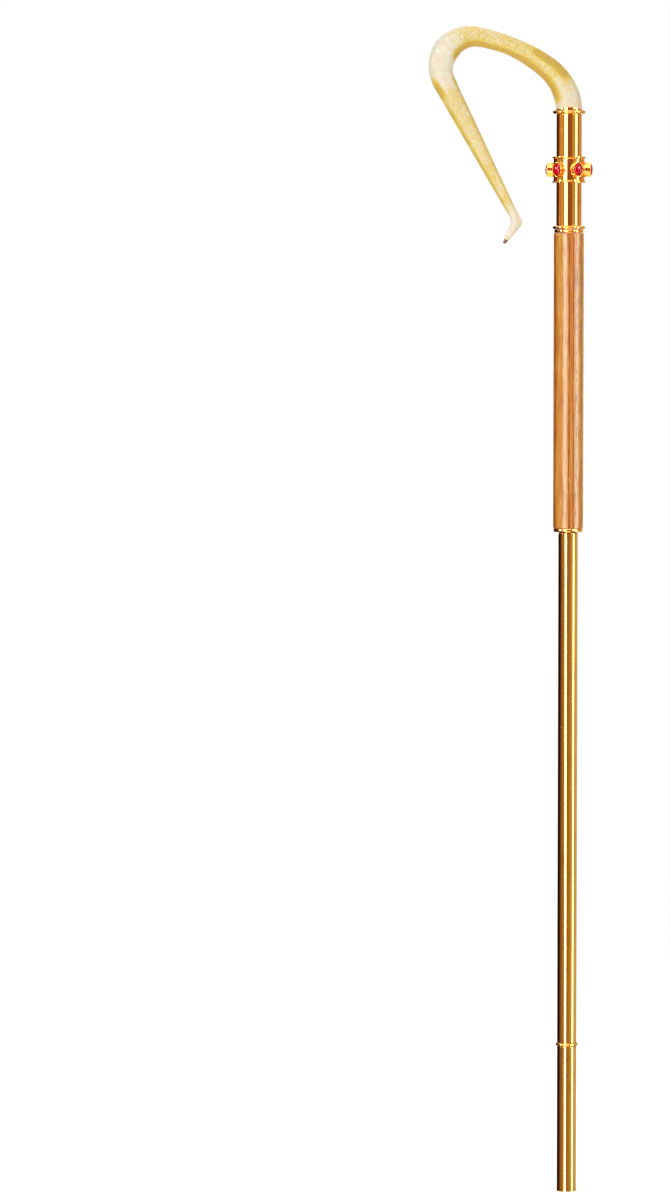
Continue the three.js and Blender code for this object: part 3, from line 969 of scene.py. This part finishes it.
# %% Collets and cabochons
STONE_HALF_HEIGHT = 8.7 * MM
RIM_REACH = 30 * MM
STONE_REACH = 32.3 * MM
COLLET_BACK = 17.6 * MM
COLLET_LEDGE = 2 * MM
FOOT_WIRE_AT, FOOT_WIRE_RADIUS = 4.2 * MM, 0.35 * MM
STONE_SEAT = 27 * MM
SETTING_GAP = 0.12 * MM
STONE_LIFT = 0.3 * MM
GIRDLE_HEIGHT = 1.2 * MM


def placed(points, matrix):
    return [matrix @ Vector(point) for point in points]


def collet_outline():
    outer, inner = BEZEL_HALF_HEIGHT, STONE_HALF_HEIGHT + SETTING_GAP
    wall = (outer - inner) / 2
    burnished = arc(outer - wall, RIM_REACH - wall, wall, 0, 180, 12)
    foot_wire = arc(outer, COLLET_BACK + FOOT_WIRE_AT, FOOT_WIRE_RADIUS, -90, 90, 6)
    ledge, floor = inner - COLLET_LEDGE, COLLET_BACK + COLLET_LEDGE
    return [(0, COLLET_BACK), (outer, COLLET_BACK), *foot_wire, *burnished, (inner, STONE_SEAT),
            (ledge, STONE_SEAT), (ledge, floor), (0, floor)]


def stone_outline(steps=18):
    base = STONE_SEAT + STONE_LIFT
    girdle = base + GIRDLE_HEIGHT
    rise = STONE_REACH - girdle
    dome = []
    for i in range(steps):
        lift = math.pi / 2 * i / steps
        dome.append((STONE_HALF_HEIGHT * math.cos(lift), girdle + rise * math.sin(lift)))
    return [(0, base), (STONE_HALF_HEIGHT, base), *dome, (0, STONE_REACH)]


for index in range(1, BEZEL_COUNT + 1):
    for node, outline, finish, slot in (("bezel", collet_outline(), gold, "gold_plate"),
                                        ("cabochon", stone_outline(), red_stone, "red_stone")):
        points, faces = spun(outline, OVAL_SIDES)
        name = f"{node}_{index}"
        set_points = placed(points, outward(index))
        make_piece(f"{name}_set", set_points, faces, BODY_OF[name], finish, (name,))
print("stones set:", BEZEL_COUNT)

# %% [markdown]
# ## The hook
#
# The hook's centreline is a chain of arcs and straight runs, as it would be laid out with compasses,
# and a radius is given where each one ends. A ring of points is set square to the line every
# millimetre or so. The radii are smoothed, so that the taper flows, and noise gives the skin the
# slight unevenness of hand finishing. The heel is sharper outside than a plain bend would be, so its
# outer side is pushed out.

# %% The hook's centreline
# Each leg: an arc's radius and turn in degrees, or a straight run, with the hook's radius at its end.
HOOK_ROOT_RADIUS = 17.3
HOOK_LEGS = [
    {"arc": 60, "turn": 14.5, "radius": 18}, {"arc": 80, "turn": 37, "radius": 15.3},
    {"arc": 208, "turn": 17, "radius": 12.4}, {"arc": 208, "turn": 12, "radius": 13.4},
    {"arc": 43, "turn": 62, "radius": 18.2}, {"arc": 43, "turn": 65.2, "radius": 15.4},
    {"run": 203, "radius": 6}, {"arc": 19, "turn": -60, "radius": 5.9}, {"run": 17, "radius": 3},
]
HEEL_LEG = 7
STATION_SPACING = 1.2


def hook_line():
    """Places, headings and radii along the hook, in millimetres, and how far along its heel is."""
    x, z, heading, radius = 0.0, 0.0, math.pi / 2, HOOK_ROOT_RADIUS
    stations, walked, heel = [(x, z, heading, radius, 0.0)], 0.0, 0.0
    for number, leg in enumerate(HOOK_LEGS):
        turn = math.radians(leg.get("turn", 0))
        length = leg.get("run") or leg["arc"] * abs(turn)
        if number == HEEL_LEG:
            heel = walked + length / 2
        steps = math.ceil(length / STATION_SPACING)
        for step in range(1, steps + 1):
            before = heading + turn * (step - 0.5) / steps
            x += math.cos(before) * length / steps
            z += math.sin(before) * length / steps
            now = radius + (leg["radius"] - radius) * step / steps
            stations.append((x, z, heading + turn * step / steps, now, walked + length * step / steps))
        walked += length
        heading += turn
        radius = leg["radius"]
    return stations, heel


def flowing(values, passes=40):
    """Values averaged with their neighbours again and again, with both ends kept."""
    for _ in range(passes):
        inner = [(a + 2 * b + c) / 4 for a, b, c in zip(values, values[1:], values[2:])]
        values = [values[0], *inner, values[-1]]
    return values


# %% Where stain and painted shade lie on the hook
# Patches of stain and painted shade, laid where the hook faces away from the light: from and to, in
# millimetres along the hook; the middle of the patch and its half width, in degrees round it from the
# outside (0) to the inside (180); and how much there is.
STAIN_AND_SHADE_PATCHES = [
    (4, 84, 176, 58, 0.66), (30, 106, 36, 42, 0.60), (62, 242, 180, 62, 0.80),
    (243, 296, 24, 40, 0.70), (250, 292, 172, 38, 0.60), (285, 478, 8, 46, 0.36),
    (285, 470, 178, 36, 0.22),
]
# How much stain and painted shade the rest has, at places along the hook; least on the lit bend and
# heel.
STAIN_AND_SHADE_GROUND = [(0, 0.34), (30, 0.42), (60, 0.56), (190, 0.56), (215, 0.22), (235, 0.04), (262, 0.06),
                (284, 0.54), (450, 0.54), (478, 0.12), (500, 0.08), (508, 0.60), (513, 0.90)]
# Where the stain was dragged into strokes rather than a net.
STROKE_SPAN, STROKE_FADE = (55, 222), 20
PATCH_FADE = 24
PATCH_SIDE = (0.55, 1.25)  # shares of its half width
# The outer rim is painted lighter where the light falls on it: how much, how far round, and where that
# starts and ends.
RIM_LIT, RIM_DEGREES, RIM_STARTS, RIM_ENDS = 0.35, 34, (60, 120), (225, 245)


def eased_step(value, low, high):
    share = min(1, max(0, (value - low) / (high - low)))
    return share * share * (3 - 2 * share)


def span_share(walked, starts, ends):
    """1 inside a stretch of the hook, 0 outside it, and smooth where it starts and where it ends."""
    return eased_step(walked, *starts) * (1 - eased_step(walked, *ends))


def ground_stain_and_shade(walked):
    for (start, first), (end, last) in zip(STAIN_AND_SHADE_GROUND, STAIN_AND_SHADE_GROUND[1:]):
        if walked <= end:
            return first + (last - first) * (walked - start) / (end - start)
    return STAIN_AND_SHADE_GROUND[-1][1]


def stain_left(walked, degrees):
    """How much stain and painted shade lie at a place along and round the hook."""
    most = ground_stain_and_shade(walked)
    for start, end, middle, half, amount in STAIN_AND_SHADE_PATCHES:
        along = span_share(walked, (start, start + PATCH_FADE), (end - PATCH_FADE, end))
        round_it = 1 - eased_step(abs(degrees - middle), *(share * half for share in PATCH_SIDE))
        most = most + amount * along * round_it
    # Painted light: the lit outer rim gets less ochre.
    rim = RIM_LIT * (1 - eased_step(degrees, 0, RIM_DEGREES))
    return most - rim * span_share(walked, RIM_STARTS, RIM_ENDS)


def stroke_share(walked):
    """How far the stain is in strokes at a place along the hook, from 0 for a net to 1."""
    first, last = ((at - STROKE_FADE, at + STROKE_FADE) for at in STROKE_SPAN)
    return span_share(walked, first, last)


# %% The hook's skin
HEEL_PUSH = 3.4
HEEL_SPREAD = 6.0
HOOK_SEAT_GAP = 0.3 * MM
SKIN_LUMPS = ((0.055, 0.22), (0.6, 0.045))  # how close together the lumps are, and how high
SMOOTH_ROOT = 12


def hook_point(station, radius, angle, heel, base):
    x, z, heading, _, walked = station
    back_of_heel = max(0, -math.cos(angle)) ** 2
    push = HEEL_PUSH * back_of_heel * math.exp(-((walked - heel) / HEEL_SPREAD) ** 2)
    side = Vector((math.sin(heading), 0, -math.cos(heading)))
    point = Vector((x, 0, z)) + side * math.cos(angle) * (radius + push)
    point += Vector((0, math.sin(angle) * radius, 0))
    lumps = sum(noise.noise(point * often) * size for often, size in SKIN_LUMPS)
    away = side * math.cos(angle) + Vector((0, math.sin(angle), 0))
    point += away * lumps * min(1, walked / SMOOTH_ROOT)
    return point * MM + Vector((0, 0, base))


def write_attribute(mesh, name, kind, values):
    """Numbers kept on a mesh's points, for its finish to read."""
    attribute = mesh.attributes.new(name, kind, "POINT")
    attribute.data.foreach_set("vector" if kind == "FLOAT_VECTOR" else "value", values)


def hook_skin(sides=80):
    stations, heel = hook_line()
    radii = flowing([station[3] for station in stations])
    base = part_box("top_flange")[1].z + HOOK_SEAT_GAP
    points, faces, straight, stain_and_shade_values, stroked = [], [], [], [], []
    for station, radius in zip(stations, radii):
        walked = station[4]
        for i in range(sides):
            angle = 2 * math.pi * i / sides
            points.append(hook_point(station, radius, angle, heel, base))
            straight += [walked * MM, radius * math.cos(angle) * MM, radius * math.sin(angle) * MM]
            # Stain and painted shade, kept on each point for the finish.
            stain_and_shade_values.append(stain_left(walked, math.degrees(min(angle, 2 * math.pi - angle))))
            stroked.append(stroke_share(walked))
    for row in range(len(stations) - 1):
        for i in range(sides):
            j = (i + 1) % sides
            near, far = row * sides, (row + 1) * sides
            faces.append((near + i, near + j, far + j, far + i))
    faces.append(tuple(reversed(range(sides))))
    last = (len(stations) - 1) * sides
    faces.append(tuple(last + i for i in range(sides)))
    hook = make_piece("hook_carved", points, faces, BODY_OF["crook"],
                      ivory, ("crook",))
    write_attribute(hook.data, "straightened", "FLOAT_VECTOR", straight)
    write_attribute(hook.data, "stain_left", "FLOAT", stain_and_shade_values)
    write_attribute(hook.data, "stroked", "FLOAT", stroked)
    print("hook length", round(stations[-1][4]), "mm, heel at", round(heel), "mm")
    return stations[-1], base


toe, hook_base = hook_skin()


# %% The dark tip
TIP_LENGTH = 6.3
TIP_BEVEL = 0.3
TIP_TAPER = 0.9
TIP_NOSE = 2.2


def hook_tip(toe, base, sides=48, steps=10):
    """A small rounded nub of dark horn on the end of the toe."""
    x, z, heading, radius, _ = toe
    profile = [(0, 0), (radius * 0.93, 0), (radius, TIP_BEVEL)]
    for i in range(1, steps):
        along = i / steps
        profile.append((radius - TIP_TAPER * along, TIP_BEVEL + (TIP_LENGTH - TIP_NOSE) * along))
    shoulder, end = profile[-1]
    for i in range(1, steps):
        lift = math.pi / 2 * i / steps
        profile.append((shoulder * math.cos(lift), end + (TIP_LENGTH - end) * math.sin(lift)))
    profile.append((0, TIP_LENGTH))
    points, faces = spun([(across * MM, along * MM) for across, along in profile], sides)
    turn = Matrix.Rotation(math.pi / 2 - heading, 4, "Y")
    centre = Vector((x, 0, z)) * MM + Vector((0, 0, base))
    moved = [centre + turn @ Vector(point) for point in points]
    make_piece("hook_tip_horn", moved, faces, BODY_OF["crook_tip"],
               horn, ("crook_tip",))


hook_tip(toe, hook_base)

# %% [markdown]
# ## The mouth round the hook's root
#
# The hook stands in a thin gold mouth that rises at the front and back. A ring is spun and its upper
# edge is lifted by how far round the staff it is.

# %% Mouth
MOUTH_LOW_HEIGHT = 0.9 * MM
MOUTH_GAP = 0.25


def crook_mouth():
    low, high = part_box("crook_mouth")
    outer, inner = outer_radius("crook_mouth"), (HOOK_ROOT_RADIUS + MOUTH_GAP) * MM
    rise = high.z - low.z - MOUTH_LOW_HEIGHT
    thickness = outer - inner
    top = low.z + MOUTH_LOW_HEIGHT
    rounded = arc(outer - thickness / 2, top - thickness / 2, thickness / 2, 0, 180, 8)
    points, faces = spun([(inner, low.z), (outer, low.z), *rounded], 120)
    lifted = []
    for x, y, z in points:
        if z > low.z + TINY:
            z += rise * math.sin(math.atan2(y, x)) ** 2
        lifted.append((x, y, z))
    make_piece("crook_mouth_gilt", lifted, faces, BODY_OF["crook_mouth"],
               gold, ("crook_mouth",))


crook_mouth()

# %% [markdown]
# ## What stays as it is
#
# The plug in the foot, the two sockets, the tie rod and its nut and washer are already the right
# shape in the CAD model, so those nodes stay and take a finish.

# %% Finishes for the CAD nodes that stay
KEPT_NODES = {
    "foot_plug": brass, "middle_socket": brass, "grip_socket": brass,
    "tie_rod": steel, "tie_rod_nut": steel, "tie_rod_washer": steel,
}
for node, finish in KEPT_NODES.items():
    kept = frame["nodes"][node]
    kept.data.materials.clear()
    kept.data.materials.append(finish)
print("kept nodes:", ", ".join(KEPT_NODES))

# %% Update the scene
bpy.context.view_layer.update()
